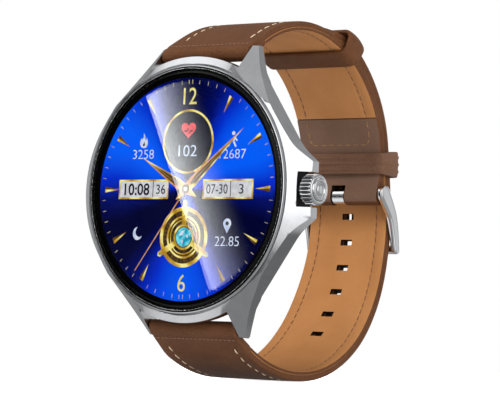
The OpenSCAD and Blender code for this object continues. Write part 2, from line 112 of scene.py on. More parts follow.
# ---------------- materials
class Shader:
    """A small builder for node trees."""

    def __init__(self, tree):
        self.tree = tree
        tree.nodes.clear()
        self._mm = None

    def node(self, kind, values=(), **props):
        n = self.tree.nodes.new("ShaderNode" + kind)
        for key, value in props.items():
            setattr(n, key, value)
        for key, value in dict(values).items():
            if isinstance(value, bpy.types.NodeSocket):
                self.tree.links.new(value, n.inputs[key])
            else:
                n.inputs[key].default_value = value
        return n

    def mm(self):
        """position on the piece in millimetres"""
        if self._mm is None:
            at = self.node("TexCoord").outputs["Object"]
            self._mm = self.node("VectorMath", {0: at, "Scale": 1000.0},
                operation="SCALE").outputs[0]
        return self._mm

    def vector(self, op, a, b, out=0):
        return self.node("VectorMath", {0: a, 1: b}, operation=op).outputs[out]

    def noise(self, vector, scale, detail=3.0, rough=0.55):
        return self.node("TexNoise", {"Vector": vector, "Scale": scale, "Detail": detail,
            "Roughness": rough}).outputs["Fac"]

    def cells(self, vector, scale):
        n = self.node("TexVoronoi", {"Vector": vector, "Scale": scale})
        return n.outputs["Distance"]

    def math(self, op, a, b=0.0):
        return self.node("Math", {0: a, 1: b}, operation=op).outputs[0]

    def weigh(self, a, share, b):
        """a and b in the proportion of share to 1 - share"""
        rest = self.math("MULTIPLY", b, 1 - share)
        return self.math("ADD", self.math("MULTIPLY", a, share), rest)

    def span(self, value, a, b, to_a=0.0, to_b=1.0, smooth=True):
        kind = "SMOOTHSTEP" if smooth else "LINEAR"
        return self.node("MapRange", {"Value": value, "From Min": a, "From Max": b, "To Min": to_a,
            "To Max": to_b}, interpolation_type=kind).outputs["Result"]

    def ramp(self, value, stops):
        n = self.node("ValToRGB", {"Fac": value})
        el = n.color_ramp.elements
        while len(el) < len(stops):
            el.new(0.5)
        for e, (at, colour) in zip(el, stops):
            e.position, e.color = at, (*colour, 1)
        return n.outputs["Color"]

    def mix(self, fac, a, b, mode="MIX"):
        n = self.node("Mix", {"Factor": fac}, data_type="RGBA", blend_type=mode)
        for socket, value in ((n.inputs[6], a), (n.inputs[7], b)):
            if isinstance(value, bpy.types.NodeSocket):
                self.tree.links.new(value, socket)
            else:
                socket.default_value = (*value, 1)
        return n.outputs[2]

    def bump(self, height, strength, distance_mm):
        return self.node("Bump", {"Height": height, "Strength": strength,
            "Distance": distance_mm * MM}).outputs["Normal"]

    def xyz(self, vector):
        return self.node("SeparateXYZ", {0: vector}).outputs

    def principled(self, **values):
        sockets = {k.replace("_", " "): v for k, v in values.items()}
        shader = self.node("BsdfPrincipled", sockets)
        self.node("OutputMaterial", {"Surface": shader.outputs[0]})

    def glow(self, colour, base=0.01, rough=0.5):
        """a lit surface of the display"""
        self.principled(Base_Color=(base, base, base, 1), Roughness=rough, Specular_IOR_Level=0.0,
            Emission_Color=colour, Emission_Strength=1.0)


def material(name):
    mat = bpy.data.materials.new(name)
    mat.use_nodes = True
    return mat, Shader(mat.node_tree)


def rgb(tone):
    """a colour as it is, a number as a grey"""
    return tone if isinstance(tone, tuple) else (tone,) * 3


def srgb(r, g, b):
    return tuple(((c / 255 + 0.055) / 1.055) ** 2.4 if c > 10 else c / 3294 for c in (r, g, b))


def metal(name, low, high, rough, grain=(1, 1, 1), wear=0.02):
    mat, s = material(name)
    streak = s.noise(s.vector("MULTIPLY", s.mm(), grain), 3.0, 4.0)
    patch = s.noise(s.mm(), 0.35, 2.0)
    s.principled(Metallic=1.0, Base_Color=s.ramp(s.weigh(streak, 0.6, patch),
        [(0.3, low), (0.7, high)]), Roughness=s.span(streak, 0.25, 0.75, *rough),
        Normal=s.bump(streak, wear, 0.02))
    return mat


def plastic(name, low, high, rough, scale=6.0, bump=0.1, gloss=0.5):
    mat, s = material(name)
    fine = s.noise(s.mm(), scale, 4.0)
    s.principled(Base_Color=s.ramp(fine, [(0.3, rgb(low)), (0.7, rgb(high))]),
        Roughness=s.span(fine, 0.3, 0.7, *rough), Specular_IOR_Level=gloss,
        Normal=s.bump(fine, bump, 0.03))
    return mat


def leather(name, deep, mid, light, rough=(0.6, 0.75), cell=2.3, relief=0.5, spread=0.65):
    mat, s = material(name)
    deep, mid, light = srgb(*deep), srgb(*mid), srgb(*light)
    warp = s.node("TexNoise", {"Vector": s.mm(), "Scale": 1.4})
    bend = s.mix(0.12, s.mm(), warp.outputs["Color"], mode="ADD")
    grain = s.cells(bend, cell)
    pore = s.noise(s.mm(), 7.0, 4.0, 0.7)
    cloud = s.noise(s.mm(), 0.16, 3.0)
    colour = s.ramp(s.weigh(cloud, spread, pore), [(0.3, deep), (0.5, mid), (0.72, light)])
    colour = s.mix(s.span(grain, 0.3, 0.75, 0.0, 0.25), colour, deep)
    height = s.math("SUBTRACT", s.math("MULTIPLY", pore, 0.5), grain)
    s.principled(Base_Color=colour, Roughness=s.span(pore, 0.3, 0.7, *rough),
        Normal=s.bump(height, relief, 0.07), Specular_IOR_Level=0.14)
    return mat


def lit(name, low, high, scale=0.8):
    """a lit part of the display's picture"""
    mat, s = material(name)
    s.glow(s.ramp(s.noise(s.mm(), scale, 2.0), [(0.35, srgb(*low)), (0.65, srgb(*high))]))
    return mat


def make_gold_light():
    mat, s = material("dial_gold")
    x, _, z = s.xyz(s.mm())
    sweep = s.math("SINE", s.math("MULTIPLY", s.math("ADD", x, z), 1.3))
    tone = s.math("ADD", s.math("MULTIPLY", sweep, 0.35), s.noise(s.mm(), 1.5))
    s.glow(s.ramp(tone, [(0.15, srgb(176, 132, 34)), (0.5, srgb(224, 192, 70)),
        (0.85, srgb(250, 240, 150))]))
    return mat


def make_blue_light():
    """three bright and three dark sectors round the dial"""
    mat, s = material("dial_blue")
    x, _, z = s.xyz(s.mm())
    thrice = s.math("MULTIPLY", s.math("ARCTAN2", x, z), 3.0)
    wave = s.math("MULTIPLY", s.math("COSINE", thrice), -0.5)
    ripple = s.math("MULTIPLY", s.noise(s.mm(), 0.09, 1.0), 0.3)
    tone = s.math("ADD", s.math("ADD", wave, 0.5), s.math("SUBTRACT", ripple, 0.15))
    tone = s.math("ADD", tone, s.span(z, -14.0, 16.0, -0.10, 0.06))
    s.glow(s.ramp(tone, [(0.0, srgb(2, 4, 48)), (0.3, srgb(4, 16, 104)), (0.62, srgb(4, 46, 206)),
        (1.0, srgb(6, 96, 255))]), base=0.0, rough=0.4)
    return mat


def make_glass():
    mat, s = material("clear_glass")
    smudge = s.noise(s.mm(), 0.12, 2.0)
    s.principled(Base_Color=(1, 1, 1, 1), Transmission_Weight=1.0, IOR=1.5,
        Roughness=s.span(smudge, 0.4, 0.8, 0.0, 0.004))
    return mat


def make_adhesive():
    mat, s = material("clear_adhesive")
    haze = s.noise(s.mm(), 0.3, 2.0)
    s.principled(Base_Color=(1, 1, 1, 1), Roughness=0.3, Specular_IOR_Level=0.0,
        Alpha=s.span(haze, 0.3, 0.7, 0.0, 0.004))
    return mat


def make_thread(name, low, high):
    mat, s = material(name)
    twist = s.node("TexWave", {"Vector": s.mm(), "Scale": 1.6, "Distortion": 1.0},
        wave_type="BANDS", bands_direction="DIAGONAL").outputs["Fac"]
    s.principled(Base_Color=s.ramp(twist, [(0.2, srgb(*low)), (0.8, srgb(*high))]), Roughness=0.7,
        Sheen_Weight=0.3, Normal=s.bump(twist, 0.5, 0.05))
    return mat


STEEL = metal("satin_steel", (0.60, 0.61, 0.63), (0.72, 0.73, 0.75), (0.16, 0.24),
    grain=(0.4, 4, 4))
POLISH = metal("polished_steel", (0.76, 0.77, 0.79), (0.86, 0.87, 0.89), (0.07, 0.13), wear=0.01)
# painted shade: a dark steel for the floors of the crown's flutes, where shade falls
FLUTE_SHADE = metal("shadowed_steel", (0.10, 0.10, 0.11), (0.18, 0.18, 0.19), (0.3, 0.4))
PLAIN = metal("machined_steel", (0.48, 0.49, 0.51), (0.62, 0.63, 0.65), (0.26, 0.38),
    grain=(4, 1, 1), wear=0.05)
BROWN = leather("leather_brown", (68, 41, 24), (93, 58, 35), (106, 69, 43), (0.48, 0.62),
    spread=0.32)
MATT = leather("leather_turned_in", (92, 68, 54), (112, 86, 71), (126, 98, 82), cell=5.0,
    relief=0.3, spread=0.3)
LOOP = leather("leather_loop", (82, 57, 42), (108, 78, 61), (120, 89, 71), (0.48, 0.62),
    spread=0.32)
# painted shade: a near-black leather for the walls of the holes and of the tang's slot
HOLE_SHADE = leather("leather_hole_shade", (22, 16, 12), (34, 24, 18), (46, 34, 26), cell=6.0)
TAN = leather("lining_tan", (160, 108, 62), (174, 120, 72), (186, 132, 83), cell=7.0, relief=0.12,
    spread=0.4)
CREAM = make_thread("thread_cream", (196, 168, 128), (236, 216, 182))
UMBER = make_thread("thread_umber", (92, 56, 28), (124, 78, 42))
SELF_THREAD = make_thread("thread_brown", (92, 64, 46), (128, 94, 70))
GOLD_THREAD = make_thread("thread_gold", (112, 80, 34), (164, 122, 60))
CLEAR = make_glass()

NODE_LOOKS = {
    "cover_glass": CLEAR,
    "border_mask": plastic("border_black", 0.0008, 0.0015, (0.3, 0.4), 0.5, 0.0, 0.0),
    "display_adhesive": make_adhesive(),
    "display_panel": make_blue_light(),
    "display_flex": plastic("polyimide", (0.45, 0.20, 0.03), (0.62, 0.32, 0.07), (0.3, 0.45), 2.0),
    "chassis": plastic("moulded_frame", 0.02, 0.035, (0.45, 0.6)),
    "main_board": plastic("solder_mask", (0.005, 0.07, 0.025), (0.01, 0.12, 0.045),
                          (0.25, 0.4), 3.0),
    "sensor_board": plastic("solder_mask_dark", (0.004, 0.05, 0.02), (0.008, 0.09, 0.035),
                            (0.25, 0.4), 3.0),
    "board_chips": plastic("chip_black", 0.012, 0.022, (0.5, 0.65), 12.0),
    "battery": metal("foil", (0.5, 0.51, 0.52), (0.64, 0.65, 0.66), (0.3, 0.45), wear=0.2),
    "motor_rotor": metal("sintered_weight", (0.22, 0.2, 0.17), (0.34, 0.3, 0.26), (0.4, 0.6),
                         wear=0.2),
    "speaker_module": plastic("module_black", 0.01, 0.02, (0.4, 0.55), 8.0),
    "crown_switch": plastic("switch_black", 0.02, 0.04, (0.4, 0.55), 8.0),
    "microphone": metal("tinned_can", (0.55, 0.5, 0.36), (0.7, 0.65, 0.5), (0.25, 0.4)),
    "sensor_leds": plastic("lamp_green", (0.1, 0.55, 0.14), (0.2, 0.75, 0.25), (0.15, 0.25), 2.0),
    "photodiodes": plastic("diode_dark", (0.01, 0.01, 0.04), (0.02, 0.02, 0.08), (0.1, 0.2), 2.0),
    "charging_contacts": metal("gold_plate", (0.70, 0.46, 0.14), (0.86, 0.62, 0.24), (0.15, 0.28)),
    "charging_magnets": metal("nickel", (0.5, 0.5, 0.5), (0.62, 0.62, 0.62), (0.2, 0.3)),
    "back_gasket": plastic("silicone", (0.07, 0.012, 0.01), (0.1, 0.02, 0.014), (0.5, 0.65)),
    "crown_seal": plastic("seal_rubber", 0.008, 0.015, (0.5, 0.65)),
    "switch_plunger": plastic("acetal", (0.6, 0.58, 0.5), (0.72, 0.7, 0.62), (0.3, 0.45))}
NODE_LOOKS.update(dict.fromkeys((
    "motor_case", "crown_stem", "stem_clip", "crown_tube", "upper_bar_tube",
    "upper_release_pin", "lower_bar_tube", "lower_release_pin", "buckle_bar"),
    PLAIN))
for node_name, look in NODE_LOOKS.items():
    frame["nodes"][node_name].data.materials.clear()
    frame["nodes"][node_name].data.materials.append(look)


# ---------------- mesh helpers
def angles(n):
    """n equal steps of a full turn, in radians"""
    return [2 * pi * i / n for i in range(n)]


def rect(a0, a1, b0, b1):
    return [(a0, b0), (a1, b0), (a1, b1), (a0, b1)]


class Kit:
    """Collects points (x, depth behind the glass, z) in mm, and faces."""

    def __init__(self):
        self.v, self.f = [], []

    def add(self, verts, faces):
        n = len(self.v)
        self.v += [tuple(map(float, p)) for p in verts]
        self.f += [[i + n for i in face] for face in faces]
        return self

    def rings(self, rings, close=False):
        """skins a row of closed rings of equal length; a row that does not
        close on itself is capped at both ends"""
        m, k = len(rings), len(rings[0])
        faces = []
        for i in range(m if close else m - 1):
            a, b = i * k, (i + 1) % m * k
            faces += [[a + j, a + (j + 1) % k, b + (j + 1) % k, b + j] for j in range(k)]
        if not close:
            faces += [list(range(k))[::-1], [(m - 1) * k + j for j in range(k)]]
        return self.add([p for ring in rings for p in ring], faces)

    def prism(self, pts, layer):
        return self.rings([[(x, d, z) for x, z in pts] for d in layer])

    def spun(self, profile, n, place):
        """a closed profile (r, a) turned about an axis; place(r, a, angle)"""
        return self.rings([[place(r, a, t) for r, a in profile] for t in angles(n)], close=True)

    def box(self, x0, x1, quad):
        """a bar along X over four corners (depth, z)"""
        return self.rings([[(x, d, z) for d, z in quad] for x in (x0, x1)])

    def rod(self, x0, x1, r, d, z):
        ring = [(r * cos(t), r * sin(t)) for t in angles(32)]
        return self.rings([[(x, d + a, z + b) for a, b in ring] for x in (x0, x1)])

    def mesh(self, name):
        mesh = bpy.data.meshes.new(name)
        mesh.from_pydata([(x * MM, FRONT + d * MM, z * MM) for x, d, z in self.v], [], self.f)
        bm = bmesh.new()
        bm.from_mesh(mesh)
        bmesh.ops.recalc_face_normals(bm, faces=bm.faces)
        bm.to_mesh(mesh)
        bm.free()
        return mesh

    def piece(self, name, body, look, slot, replaces=(), crease=35):
        return finish_piece(link(name, self.mesh(name)), body, look, replaces, crease)


def shade(obj, crease):
    """smooth shading, except over edges sharper than crease degrees"""
    obj.data.shade_smooth()
    obj.data.set_sharp_from_angle(angle=radians(crease))


def finish_piece(obj, body, look, replaces, crease):
    obj.data.materials.clear()
    obj.data.materials.append(look)
    shade(obj, crease)
    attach(obj, body)
    if replaces:
        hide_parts(*replaces)
    return obj


def recolour(obj, look, chosen):
    """another look for those faces of a piece for which chosen(face) holds"""
    obj.data.materials.append(look)
    index = len(obj.data.materials) - 1
    for face in obj.data.polygons:
        if chosen(face):
            face.material_index = index


def evaluated(obj):
    graph = bpy.context.evaluated_depsgraph_get()
    return bpy.data.meshes.new_from_object(obj.evaluated_get(graph))


def carve(obj, kit, operation="DIFFERENCE", look=None):
    """cuts closed shapes out of a piece, or joins them to it"""
    mesh = kit.mesh("cutter")
    mesh.materials.append(look or obj.data.materials[0])
    cutter = link("cutter", mesh)
    mod = obj.modifiers.new("cut", "BOOLEAN")
    mod.operation, mod.object, mod.solver = operation, cutter, "EXACT"
    mod.material_mode = "TRANSFER"
    mesh = evaluated(obj)
    obj.modifiers.clear()
    obj.data = mesh
    bpy.data.objects.remove(cutter)


def refined(node, name, look, bevel, angle=32, segments=2):
    """a CAD solid whose edges sharper than angle are rounded by bevel mm"""
    mesh = frame["nodes"][node].data.copy()
    mesh.name = name
    for extra in [a.name for a in mesh.attributes if "normal" in a.name]:
        mesh.attributes.remove(mesh.attributes[extra])
    bm = bmesh.new()
    bm.from_mesh(mesh)
    bmesh.ops.remove_doubles(bm, verts=bm.verts, dist=2e-6)
    bmesh.ops.dissolve_limit(bm, angle_limit=radians(0.6), verts=bm.verts, edges=bm.edges)
    edges = [e for e in bm.edges if e.is_manifold and e.calc_face_angle() > radians(angle)]
    if bevel:
        bmesh.ops.bevel(bm, geom=edges, offset=bevel * MM, segments=segments, profile=0.5,
            affect="EDGES", clamp_overlap=True)
    bm.to_mesh(mesh)
    bm.free()
    obj = finish_piece(link(name, mesh), frame["nodes"][node]["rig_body"], look, (node,), 35)
    obj.modifiers.new("even_normals", "WEIGHTED_NORMAL").keep_sharp = True
    return obj


# ---------------- wrist path
def forward(h):
    """unit vector (depth, z) at h radians from the depth axis"""
    return np.array([cos(h), sin(h)])


def outward(h):
    return np.array([-sin(h), cos(h)])


def chain(p, h, arcs):
    """path of arcs (radius, angle, steps) that turn right, from a start and a
    heading in degrees"""
    pts, heads = [np.array(p, float)], [h]
    for r, a, n in arcs:
        centre = pts[-1] - r * outward(radians(heads[-1]))
        heads += [heads[-1] - a * i / n for i in range(1, n + 1)]
        pts += [centre + r * outward(radians(q)) for q in heads[-n:]]
    pts, heads = np.array(pts), np.array(heads)
    run = np.concatenate([[0], np.cumsum(np.linalg.norm(np.diff(pts, axis=0), axis=1))])
    return {"p": pts, "h": heads, "s": run, "len": run[-1]}


# The closed loop: two arcs over the buckle strap, and the hole strap outside
# them. U_TH, L_TH and LIN are the thickness of both straps and of the lining.
C1, R1, R2 = np.array([23.12, 5.70]), 24.95, 21.33
U_TH, L_TH, LIN = 1.7, 1.8, 0.7
R1L, R2L = R1 + U_TH + 0.1, R2 + U_TH + 0.1
C2 = C1 + (R1 - R2) * forward(radians(35))
BAR = np.array([5.6, 24.6])
BUCKLE_BAR = np.array([48.4, 2.4])
TIP = C1 + R1L * forward(radians(72))
UPPER = chain([8.96, 26.23], 34.6, [(R1, 89.6, 90), (R2, 48, 40)])
LOWER = chain(TIP, -18, [(R1L, 37, 36), (R2L, 24.58, 20), (208.43, 2.76, 12), (32.64, 41.11, 34),
    (24.48, 48.39, 36), (29.88, 39.36, 32)])
TURNED = radians(89.6) * R1 + radians(9) * R2  # turned-in end
HOLES_FROM = radians(37) * R1L + 23.3


def spot(path, s, t=0.0):
    """(depth, z) and heading at length s, pushed outwards by t; the path
    runs on straight past its ends"""
    q = min(max(s, 0), path["len"])
    h = radians(np.interp(q, path["s"], path["h"]))
    p = np.array([np.interp(q, path["s"], path["p"][:, k]) for k in (0, 1)])
    return p + (s - q) * forward(h) + t * outward(h), h


def section(path, s, loop):
    """a closed outline (x, t) set upright on a path at length s"""
    return [(x, *spot(path, s, t)[0]) for x, t in loop]


def upper_half_width(s):
    d, z = spot(UPPER, s)[0]
    return float(min(np.interp(d, [8, 29], [9.75, 9.3]),
        np.interp(z, [4, 12, 20], [9.05, 9.3, 10])))


def lower_half_width(s):
    z = spot(LOWER, s)[0][1]
    half = np.interp(z, [-24.5, -17, -9, 0], [9.75, 9.5, 9.05, 8.9])
    return float(half - 3.3 * max(0.0, 1 - s / 6) ** 2.2)


def along(path, point):
    """length and outward offset of a point beside an end of a path"""
    end = 0.0 if np.linalg.norm(point - path["p"][0]) < np.linalg.norm(
        point - path["p"][-1]) else path["len"]
    p, h = spot(path, end)
    rel = point - p
    return end + rel @ forward(h), rel @ outward(h)


def bell(x, mid, width):
    return exp(-((x - mid) / width) ** 2)


def blend_to(s, a, b):
    """0 before a, 1 past b, with a smooth rise between"""
    k = min(max((s - a) / (b - a), 0.0), 1.0)
    return k * k * (3 - 2 * k)


SEAM = 2.3  # stitch line from the edge
CROWN = 0.06  # swell of the outer face
GROOVE = 0.12  # depth of the stitch channel
ROLL, END_ROLL = 1.53, 1.66  # radii round the two bars
BAR_BORE, BUCKLE_BORE = 0.8, 0.85
ROLL_OUT = (-0.5, 6.5)  # where a roll runs out flat
FOLD_AT = 0.4  # sewn fold past a spring bar
NOSE_STEPS = 9
HOLE_PITCH = 5.0
STITCH_LIFT = 0.045  # axis of a stitch over its channel's floor
OUTER_STITCH = (1.6, 0.55, 0.105)  # length, gap, radius
INNER_STITCH = (1.3, 0.16, 0.1)
GOLD_STITCH = (1.3, 0.35, 0.085)


def leather_outline(half, t_in, t_out, crown, seam_depth):
    """cross-section (x, t) of a strap's leather"""
    r = min(0.34, (t_out - t_in) * 0.3)
    xs = [half - r - e for e in (0, 0.35, 0.9, 1.5, SEAM - 0.42, SEAM - 0.2, SEAM, SEAM + 0.2,
        SEAM + 0.45)]
    xs += [half * k for k in (0.6, 0.45, 0.3, 0.15)]
    top = [(x, t_out + crown * (1 - (x / half) ** 4) - seam_depth * bell(x, half - SEAM, 0.24))
        for x in xs]
    corner = [(half - r + r * sin(a), t_out - r + r * cos(a)) for a in (0.4, 0.8, 1.2)]
    low_r = 0.3 * r
    low = [(half, t_out - r - 0.05), (half, t_in + low_r),
        (half - 0.3 * low_r, t_in + 0.3 * low_r), (half - low_r, t_in), (half * 0.5, t_in)]
    right = [(0, t_out + crown)] + top[::-1] + corner + low
    return right + [(0, t_in)] + [(-x, t) for x, t in right[:0:-1]]


def outer_face(run, bar_t, thick):
    """outer face of a strap at a distance past its spring bar"""
    k = blend_to(run, *ROLL_OUT)
    fold = 0.14 * bell(run, FOLD_AT, 0.3)
    return (1 - k) * (bar_t + ROLL) + k * thick - fold


def strap_rings(path, half_at, thick, bar, sign, lined, seams, end_bar=None):
    """stations of a strap, from its roll round the spring bar onwards; sign
    is 1 where the path starts at the bar and -1 where it ends there"""
    b_s, b_t = bar
    stations = []
    for k in range(NOSE_STEPS):
        a = pi / 2 * (k / (NOSE_STEPS - 1))
        stations.append((b_s - sign * ROLL * cos(a), ROLL * max(sin(a), 0.12)))
    reach = end_bar[0] if end_bar else 0.0
    count = int(abs(reach - b_s) / 0.4)
    stations += [(b_s + (reach - b_s) * k / count, None) for k in range(1, count + 1)]
    if end_bar:
        for k in range(1, 8):
            a = pi / 2 * (k / 7)
            stations.append((end_bar[0] + sign * END_ROLL * sin(a), END_ROLL * max(cos(a), 0.12)))
    rings = []
    for i, (s, nose) in enumerate(stations):
        run = sign * (s - b_s)  # distance past the bar
        crown, dip = 0, 0
        if nose is not None:
            mid = b_t if i < NOSE_STEPS else end_bar[1]
            t_in, t_out = mid - nose, mid + nose
        else:
            t_in = (1 - blend_to(run, *ROLL_OUT)) * (b_t - ROLL)
            t_out = outer_face(run, b_t, thick)
            if end_bar:
                m = blend_to(sign * (s - end_bar[0]), -3.4, -0.3)
                t_in = (1 - m) * t_in + m * (end_bar[1] - END_ROLL)
                t_out = (1 - m) * t_out + m * (end_bar[1] + END_ROLL)
            crown = CROWN * blend_to(run, 2, 6)
            past_start, past_end = sign * (s - lined[0]), sign * (s - lined[1])
            under = blend_to(past_start, -0.2, 0.0) * (1 - blend_to(past_end, 0.0, 0.2))
            t_in = max(t_in, LIN * under)
            dip = GROOVE * blend_to(run, seams[0] - 0.6, seams[0])
            dip *= 1 - blend_to(run, seams[1], seams[1] + 0.6)
        rings.append(section(path, s, leather_outline(half_at(s), t_in, t_out, crown, dip)))
    return rings


def build_liner(name, node, path, half_at, s0, s1):
    rings = []
    count = int(abs(s1 - s0) / 0.5)
    for k in range(count + 1):
        s = s0 + (s1 - s0) * k / count
        half = half_at(s) - 0.02
        face = [(half, LIN - 0.1), (half, 0.2), (half - 0.05, 0.08)]
        for x in (half - 0.2, half - 1.2, half - SEAM + 0.26, half - SEAM, half - SEAM - 0.26,
                half - 3.2, half * 0.5, 0):
            face.append((x, 0.02 + 0.1 * bell(x, half - SEAM, 0.17)))
        loop = face + [(-x, t) for x, t in face[-2::-1]]
        loop += [(0.06 - half, LIN - 0.02), (0, LIN - 0.02), (half - 0.06, LIN - 0.02)]
        rings.append(section(path, s, loop))
    liner = Kit().rings(rings).piece(name, "watch", TAN, "lining_tan", (node,), 40)
    # the brown dye of the strap's edges covers the lining's too
    recolour(liner, BROWN, lambda face: abs(face.normal.x) > 0.8)
    return liner


def stitch(kit, centre, along_v, out_v, length, radius):
    """one thread lying on the leather, its ends drawn in"""
    a, o = Vector(along_v).normalized(), Vector(out_v).normalized()
    side = a.cross(o)
    rings = []
    for u in (-1, -0.85, -0.5, 0, 0.5, 0.85, 1):
        w = radius * sqrt(max(1 - u ** 4, 0.06))
        mid = Vector(centre) + a * (u * length / 2) - o * (radius * 1.1 * u ** 4)
        rings.append([tuple(mid + (side * cos(t) * 1.15 + o * sin(t)) * w) for t in angles(7)])
    kit.rings(rings)


def stitch_rows(kit, path, half_at, s0, s1, t_at, side, length, gap, radius):
    """a row of stitches along both edges, a little aslant; side is 1 on the
    outer and -1 on the inner face"""
    count = int(abs(s1 - s0) / (length + gap))
    step = (s1 - s0) / count
    for sx in (-1, 1):
        for k in range(count):
            s = s0 + (k + 0.5) * step
            p, h = spot(path, s, t_at(s))
            stitch(kit, (sx * (half_at(s) - SEAM), *p), (0.10 * sx, *forward(h)),
                (0, *outward(h) * side), length, radius)


def hole_cutters(wide):
    kit = Kit()
    for k in range(-1, 6):
        tall = 1.7 if k < 0 else 1.15  # the first one holds the tang
        p, h = spot(LOWER, HOLES_FROM + HOLE_PITCH * k)
        quad = [p + forward(h) * i * tall / 2 + outward(h) * j for i, j in rect(-1, 1, -2.5, 3.2)]
        kit.box(-wide / 2, wide / 2, quad)
    return kit


def build_straps():
    # the strap with the buckle
    bar_up = along(UPPER, BAR)
    end_at = along(UPPER, BUCKLE_BAR)
    seam_end = end_at[0] - bar_up[0] - 14
    rings = strap_rings(UPPER, upper_half_width, U_TH, bar_up, 1, (0.7, TURNED), (2.8, seam_end),
        end_at)
    upper = Kit().rings(rings).piece("upper_strap_skin", "watch", BROWN, "leather_brown",
        ("upper_strap_leather",), 50)
    carve(upper, Kit().rod(-20, 20, BAR_BORE, *BAR))
    carve(upper, Kit().rod(-20, 20, BUCKLE_BORE, *BUCKLE_BAR))
    carve(upper, Kit().box(4.8, 8.4, rect(5.8, 9.8, 22.9, 25.9)))
    # the slot's walls are painted near-black as shade
    carve(upper, Kit().box(-1.6, 1.6, rect(46, 51.2, 0, 4.5)), look=HOLE_SHADE)
    recolour(upper, MATT, lambda face: face.center.y > FRONT + 41 * MM and face.normal.y < -0.75
        and face.material_index == 0)
    build_liner("upper_strap_liner", "upper_strap_lining", UPPER, upper_half_width, 0.75,
        TURNED - 0.05)
    # the strap with the holes
    bar_low = along(LOWER, BAR * [1, -1])
    rings = strap_rings(LOWER, lower_half_width, L_TH, bar_low, -1, (LOWER["len"] - 0.7, 0.5),
        (2.8, bar_low[0] - 3))
    lower = Kit().rings(rings).piece("lower_strap_skin", "watch", BROWN, "leather_brown",
        ("lower_strap_leather",), 50)
    carve(lower, Kit().rod(-20, 20, BAR_BORE, BAR[0], -BAR[1]))
    carve(lower, Kit().box(-8.4, -4.8, rect(5.8, 9.8, -25.9, -22.9)))
    # the holes' walls are painted near-black as shade
    carve(lower, hole_cutters(1.9), look=HOLE_SHADE)
    liner = build_liner("lower_strap_liner", "lower_strap_lining", LOWER, lower_half_width, 0.55,
        LOWER["len"] - 0.75)
    carve(liner, hole_cutters(2.6), look=HOLE_SHADE)
    for obj in (upper, lower, liner):
        shade(obj, 45)

    # stitching along both straps, and across them at the fold
    cream, fold, brown, gold = Kit(), Kit(), Kit(), Kit()
    straps = (
        (UPPER, upper_half_width, U_TH, bar_up, 1, (bar_up[0] + 3.2, bar_up[0] + seam_end),
         (2, TURNED - 0.4)),
        (LOWER, lower_half_width, L_TH, bar_low, -1, (bar_low[0] - 2.9, 5),
         (3, LOWER["len"] - 3)))
    for path, half_at, thick, bar, sign, outer, inner in straps:
        def on_top(s):
            half = half_at(s)
            swell = CROWN * (1 - ((half - SEAM) / half) ** 4)
            return outer_face(sign * (s - bar[0]), bar[1], thick) + swell - GROOVE + STITCH_LIFT
        stitch_rows(cream, path, half_at, *outer, on_top, 1, *OUTER_STITCH)
        stitch_rows(brown, path, half_at, *inner, lambda s: 0.08, -1, *INNER_STITCH)
        run = FOLD_AT + 0.45
        p, h = spot(path, bar[0] + sign * run, outer_face(run, bar[1], thick))
        for k in range(19):
            stitch(fold, ((k - 9) * 0.95, *p), (1, 0, 0), (0, *outward(h)), 0.7, 0.07)
    cream.piece("outer_stitching", "watch", CREAM, "leather_brown")
    fold.piece("fold_stitching", "watch", SELF_THREAD, "leather_brown")
    brown.piece("inner_stitching", "watch", UMBER, "leather_brown")

    # the turned-in end's gold thread: two edges, two corners, one row across
    radius = GOLD_STITCH[2]
    falling = UPPER["s"] > 30
    s_cross = float(np.interp(-12.2, -UPPER["p"][falling, 1], UPPER["s"][falling]))
    stitch_rows(gold, UPPER, upper_half_width, TURNED + 0.4, s_cross - 1.1, lambda s: -0.02, -1,
        *GOLD_STITCH)
    inward = (0, *-outward(spot(UPPER, s_cross)[1]))
    side = upper_half_width(s_cross) - SEAM
    for sx in (-1, 1):
        p, h = spot(UPPER, s_cross - 0.5, -0.02)
        stitch(gold, (sx * (side - 0.4), *p), (-0.8 * sx, *forward(h)), inward, 1.2, radius)
    p = spot(UPPER, s_cross, -0.02)[0]
    for k in range(7):
        stitch(gold, ((k - 3) * (side - 0.5) / 3.5, *p), (1, 0, 0), inward, 1.4, radius)
    gold.piece("turned_end_stitching", "watch", GOLD_THREAD, "leather_brown")


build_straps()


